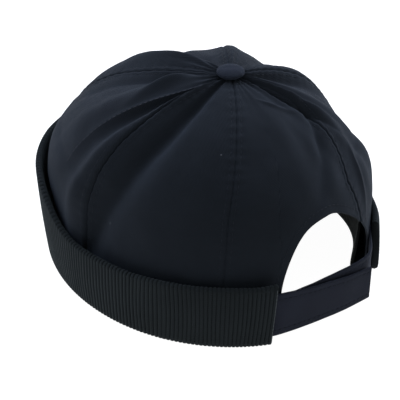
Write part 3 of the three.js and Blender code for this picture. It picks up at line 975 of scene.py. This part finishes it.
def inner_strap():
    """The strap's under layer, from its free end under the upper one to under the far end of the cuff."""
    edges = []
    for side in (0, 1):
        rise = side * INNER_STRAP_WIDTH
        along = beside_cuff(OPENING_START, FOOT_HEIGHT + rise) - strap_end(0)
        along[2] = 0
        along /= np.linalg.norm(along)
        inward = np.array([along[1], -along[0], 0])
        under = STRAP_THICKNESS + LAYER_GAP
        bend = strap_end(FOOT_HEIGHT + INNER_STRAP_RISE + rise) + inward * (under + INNER_STRAP_SLACK)
        tip = strap_end(FOOT_HEIGHT + INNER_STRAP_TIP_RISE + rise)
        tip = tip + along * INNER_STRAP_LENGTH + inward * under
        tucked = tucked_edge(OPENING_END + TUCK_ANGLE, OPENING_END, FOOT_HEIGHT + rise)
        middle = (bend + tip) / 2 + bow_out(tip - bend, 0.5)
        edges.append([tip + bow_out(tip - bend, 0.2), middle, bend] + tucked[::-1])
    return sew_strap("strap_inner_cloth", *edges)


strap_sewing = []
for (piece, lines, outward), node in ((outer_strap(), "strap_outer"), (inner_strap(), "strap_inner")):
    settle(paint(piece, strap_cotton), "strap_cloth", node)
    strap_sewing.append((node, lines, outward))


# Button

def cover_button():
    """A button form covered in cloth: a squashed ball, gathered a little towards its edge."""
    bpy.ops.object.select_all(action="DESELECT")
    bpy.ops.mesh.primitive_uv_sphere_add(segments=48, ring_count=24, radius=1)
    piece = bpy.context.object
    piece.name = "crown_button_cloth"
    size = button_high - button_low
    bpy.ops.object.mode_set(mode="EDIT")
    bpy.ops.mesh.select_all(action="SELECT")
    bpy.ops.transform.resize(value=(size.x / 2, size.y / 2, size.z / 2))
    bpy.ops.transform.translate(value=button_middle)
    bpy.ops.object.mode_set(mode="OBJECT")
    wave_size, wave_depth = BUTTON_WAVE
    for vertex in piece.data.vertices:
        off = vertex.co - button_middle
        turn = math.atan2(off.y, off.x)
        flat = Vector((off.x, off.y, 0)).length / (size.x / 2)
        gather = math.sin(BUTTON_GATHER_COUNT * turn + 2 * math.sin(3 * turn))
        lift = BUTTON_GATHER_DEPTH * gather * flat ** 3
        vertex.co += Vector((math.cos(turn), math.sin(turn), 0)) * lift
        vertex.co.z += wave_depth * noise.noise(vertex.co / wave_size)
    bpy.ops.object.shade_smooth()
    uv = piece.data.uv_layers[0]
    uv.name = "cloth"
    for loop, at in zip(piece.data.loops, uv.data):
        place = piece.data.vertices[loop.vertex_index].co
        at.uv = (place.x, place.y)
    return piece


button = paint(cover_button(), button_cotton)
settle(button, "button_cloth", "crown_button")


# Stitches

def model_stitch():
    """One stitch lying along X: a short, flattened lump of thread."""
    bpy.ops.object.select_all(action="DESELECT")
    bpy.ops.mesh.primitive_uv_sphere_add(segments=6, ring_count=4, radius=1)
    lump = bpy.context.object
    bpy.ops.object.mode_set(mode="EDIT")
    bpy.ops.mesh.select_all(action="SELECT")
    bpy.ops.transform.rotate(value=math.pi / 2, orient_axis="Y", center_override=(0, 0, 0))
    bpy.ops.transform.resize(value=(STITCH_LENGTH / 2, STITCH_RADIUS, STITCH_RADIUS))
    bpy.ops.object.mode_set(mode="OBJECT")
    corners = np.array([vertex.co[:] for vertex in lump.data.vertices])
    faces = [np.array(face.vertices) for face in lump.data.polygons]
    mesh = lump.data
    bpy.data.objects.remove(lump)
    bpy.data.meshes.remove(mesh)
    return corners, faces


stitch_corners, stitch_faces = model_stitch()


def sew_line(name, slot, material, lines, pitch=STITCH_PITCH):
    """Stitches along lines of points. Each line comes with the directions out of the cloth it lies on."""
    corners = []
    faces = []
    for points, outward in lines:
        run = run_along(np.linalg.norm(np.diff(points, axis=0), axis=1))
        count = int(run[-1] / pitch)
        for k in range(count):
            first, last = run[-1] * k / count, run[-1] * k / count + STITCH_LENGTH
            wanted = ((first, points), (last, points), ((first + last) / 2, outward))
            start, end, up = (np.array([np.interp(at, run, values[:, axis]) for axis in range(3)])
                              for at, values in wanted)
            along = (end - start) / max(np.linalg.norm(end - start), 1e-9)
            across = np.cross(up, along)
            across /= np.linalg.norm(across)
            turned = np.stack([along, across, np.cross(along, across)])
            offset = len(corners) * len(stitch_corners)
            corners.append(stitch_corners @ turned + (start + end) / 2)
            faces += [(face + offset).tolist() for face in stitch_faces]
    piece = new_piece(name, np.concatenate(corners), faces)
    bpy.ops.object.shade_smooth()
    return settle(paint(piece, material), slot)


def crown_line(angle, share):
    """Points on the crown's cloth, and the directions out of it."""
    relief = crown_relief(angle, share)
    points = crown_place(angle, share, 0, relief)
    return points, crown_place(angle, share, -0.001, relief) - points


for index, seam in enumerate(SEAMS):
    share = np.linspace(*SEAM_STITCH_SHARES, STITCH_LINE_STEPS)
    lines = []
    for side in (-1, 1):
        off = np.degrees(side * STITCH_OFFSET / crown_reach(seam_angle(seam, share), share))
        angle = seam_angle(seam, share) + off
        kept = share > crown_edge(angle) + SEAM_STITCH_EDGE
        lines.append(crown_line(angle[kept], share[kept]))
    sew_line(f"crown_seam_{index + 1}_stitches", "crown_cloth", sewing_thread, lines)

tuck = next(fold for fold in FOLDS if fold["name"] == "left front tuck")
tuck_share = np.linspace(tuck["low"] + TUCK_STITCH_INSET, tuck["high"] - TUCK_STITCH_INSET, TUCK_LINE_STEPS)
tuck_line = crown_line(fold_line(tuck, tuck_share)[1], tuck_share)
sew_line("left_tuck_stitches", "crown_cloth", tuck_thread, [tuck_line])

arch_start = ARCH_TOP_ANGLE - ARCH_REACH["left"] - ARCH_STITCH_PAST["left"]
arch_end = ARCH_TOP_ANGLE + ARCH_REACH["right"] + ARCH_STITCH_PAST["right"]
arch_angles = np.linspace(arch_start, arch_end, ARCH_LINE_STEPS)
arch_share = share_at_height(arch_angles, arch_edge(arch_angles, ARCH_STITCH_OFFSET))
sew_line("arch_stitches", "crown_cloth", sewing_thread, [crown_line(arch_angles, arch_share)])


def cuff_end_line(end, inset):
    """A line of overlocking up the outside of the cuff, an inset away from one of its ends."""
    angle = end + inset
    outline = np.array(cuff_outline(angle))[3:CUFF_STEPS_OUTSIDE + 4]
    out, height, _ = outline.T
    turned = cuff_turn(angle, height, rim_height(angle))
    points = on_plan(turned, hem_reach(angle) + out, height)
    return points, on_plan(turned, hem_reach(angle) + out + 0.001, height) - points


cuff_end_lines = [cuff_end_line(OPENING_START, -CUFF_END_INSET), cuff_end_line(RIBBON_START, CUFF_END_INSET)]
sew_line("cuff_end_stitches", "rib_knit", edge_thread, cuff_end_lines, STITCH_LENGTH)

for node, lines, outward in strap_sewing:
    sew_line(f"{node}_stitches", "strap_cloth", sewing_thread, [(line, outward) for line in lines])


# Floor, light and camera

bpy.ops.object.select_all(action="DESELECT")
bpy.ops.mesh.primitive_plane_add(size=6)
floor = bpy.context.object
floor.name = "floor"
floor_material = bpy.data.materials.new("pale floor")
floor_material.use_nodes = True
floor_shader = floor_material.node_tree.nodes["Principled BSDF"]
floor_shader.inputs["Base Color"].default_value = (0.25, 0.25, 0.25, 1)
floor_shader.inputs["Emission Color"].default_value = (1, 1, 1, 1)
floor_shader.inputs["Emission Strength"].default_value = FLOOR_GLOW
floor_shader.inputs["Roughness"].default_value = 0.9
paint(floor, floor_material)

world = bpy.data.worlds.new("studio")
world.use_nodes = True
background = world.node_tree.nodes["Background"]
background.inputs["Color"].default_value = (1, 1, 1, 1)
background.inputs["Strength"].default_value = STUDIO_GLOW
bpy.context.scene.world = world

azimuth = math.radians(CAMERA_AZIMUTH)
elevation = math.radians(CAMERA_ELEVATION)
target = Vector(CAMERA_TARGET)
camera_right = Vector((math.cos(azimuth), math.sin(azimuth), 0))
camera_ahead = Vector((-math.sin(azimuth), math.cos(azimuth), 0))
towards_camera = Vector((0, 0, math.sin(elevation))) - camera_ahead * math.cos(elevation)

for name, (right, up, ahead, size, power, colour) in LIGHTS.items():
    place = target + camera_right * right + Vector((0, 0, up)) + camera_ahead * ahead
    lamp = bpy.data.lights.new(name, "AREA")
    lamp.size = size
    lamp.energy = power
    lamp.color = colour
    light = bpy.data.objects.new(name, lamp)
    light.location = place
    light.rotation_euler = (target - place).to_track_quat("-Z", "Y").to_euler()
    bpy.context.collection.objects.link(light)

lens = bpy.data.cameras.new("camera")
lens.sensor_width = CAMERA_SENSOR
lens.lens = CAMERA_LENS
camera = bpy.data.objects.new("camera", lens)
camera.location = target + towards_camera * CAMERA_DISTANCE
camera.rotation_euler = (-towards_camera).to_track_quat("-Z", "Y").to_euler()
bpy.context.collection.objects.link(camera)
bpy.context.scene.camera = camera
bpy.context.scene.view_settings.view_transform = "Standard"
